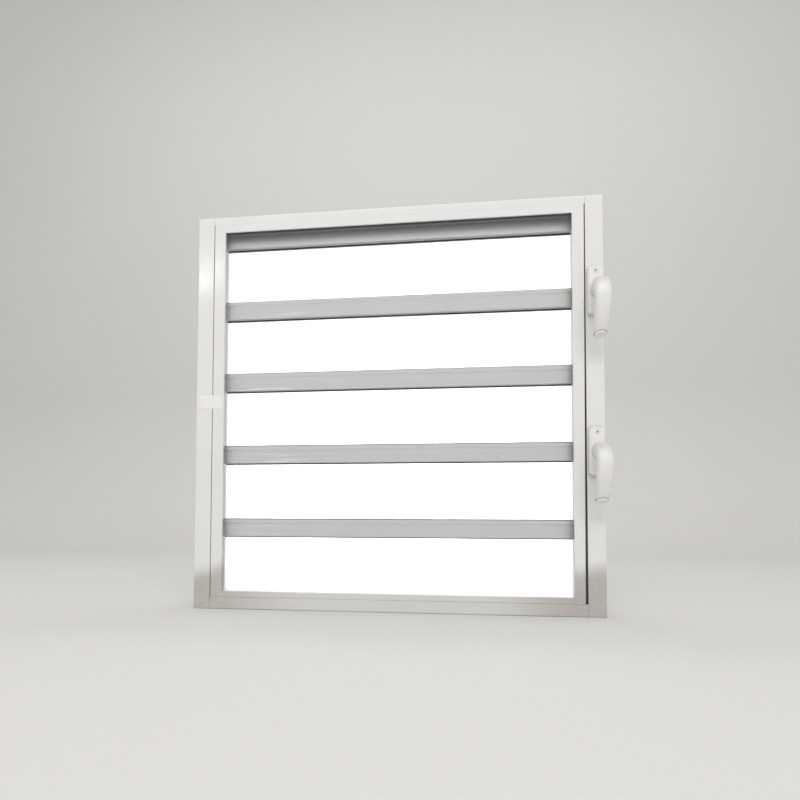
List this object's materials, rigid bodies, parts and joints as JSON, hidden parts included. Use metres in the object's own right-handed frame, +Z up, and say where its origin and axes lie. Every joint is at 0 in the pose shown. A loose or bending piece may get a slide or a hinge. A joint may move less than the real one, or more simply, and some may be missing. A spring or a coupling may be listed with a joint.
{
  "type": "jalousie window",
  "caption": "White louvre window frame with glass blades on pivoting bars, opened in two banks by lever handles on the right jamb.",
  "frame": {"origin": "middle of the underside of the outer sill", "axes": "+Z up, +Y out through the window, +X to the right as seen from the room, where the handles are"},
  "size_m": [0.6, 0.1013, 0.6],
  "materials": {
    "frame_white": "white gloss powder coat",
    "louvre_bar": "pale grey satin with fine lines along the bar",
    "glass": "frosted",
    "gasket": "matt black",
    "nylon": "natural nylon",
    "handle_white": "moulded, soft gloss"
  },
  "bodies": {
    "frame": {"outer_left_jamb": "frame_white", "outer_right_jamb": "frame_white", "outer_head": "frame_white", "outer_sill": "frame_white", "inner_left_jamb": "frame_white", "inner_right_jamb": "frame_white", "inner_head": "frame_white", "inner_sill": "frame_white", "upper_handle_plate": "handle_white", "lower_handle_plate": "handle_white"},
    "louvre_1": {"louvre_1_bar": "louvre_bar", "louvre_1_glass": "glass", "louvre_1_gaskets": "gasket", "louvre_1_end_caps": "nylon"},
    "louvre_2": {"louvre_2_bar": "louvre_bar", "louvre_2_glass": "glass", "louvre_2_gaskets": "gasket", "louvre_2_end_caps": "nylon"},
    "louvre_3": {"louvre_3_bar": "louvre_bar", "louvre_3_glass": "glass", "louvre_3_gaskets": "gasket", "louvre_3_end_caps": "nylon"},
    "louvre_4": {"louvre_4_bar": "louvre_bar", "louvre_4_glass": "glass", "louvre_4_gaskets": "gasket", "louvre_4_end_caps": "nylon"},
    "louvre_5": {"louvre_5_bar": "louvre_bar", "louvre_5_glass": "glass", "louvre_5_gaskets": "gasket", "louvre_5_end_caps": "nylon"},
    "upper_handle": {"upper_handle_lever": "handle_white"},
    "lower_handle": {"lower_handle_lever": "handle_white"}
  },
  "joints": [
    {"name": "louvre_1_tilt", "type": "hinge", "parent": "frame", "child": "louvre_1", "pos_m": [0, 0.001, 0.57], "axis": [1, 0, 0], "range_deg": [0, 75]},
    {"name": "louvre_2_tilt", "type": "hinge", "parent": "frame", "child": "louvre_2", "pos_m": [0, 0.001, 0.458], "axis": [1, 0, 0], "range_deg": [0, 75]},
    {"name": "louvre_3_tilt", "type": "hinge", "parent": "frame", "child": "louvre_3", "pos_m": [0, 0.001, 0.346], "axis": [1, 0, 0], "range_deg": [0, 75]},
    {"name": "louvre_4_tilt", "type": "hinge", "parent": "frame", "child": "louvre_4", "pos_m": [0, 0.001, 0.234], "axis": [1, 0, 0], "range_deg": [0, 75]},
    {"name": "louvre_5_tilt", "type": "hinge", "parent": "frame", "child": "louvre_5", "pos_m": [0, 0.001, 0.122], "axis": [1, 0, 0], "range_deg": [0, 75]},
    {"name": "upper_handle_turn", "type": "hinge", "parent": "frame", "child": "upper_handle", "pos_m": [0.2875, -0.025, 0.4605], "axis": [0, 1, 0], "range_deg": [0, 90]},
    {"name": "lower_handle_turn", "type": "hinge", "parent": "frame", "child": "lower_handle", "pos_m": [0.2875, -0.025, 0.232], "axis": [0, 1, 0], "range_deg": [0, 90]}
  ],
  "couplings": [
    {"joint": "louvre_1_tilt", "follows": "louvre_2_tilt", "ratio": 1},
    {"joint": "upper_handle_turn", "follows": "louvre_2_tilt", "ratio": 1.2},
    {"joint": "louvre_3_tilt", "follows": "louvre_4_tilt", "ratio": 1},
    {"joint": "louvre_5_tilt", "follows": "louvre_4_tilt", "ratio": 1},
    {"joint": "lower_handle_turn", "follows": "louvre_4_tilt", "ratio": 1.2}
  ]
}
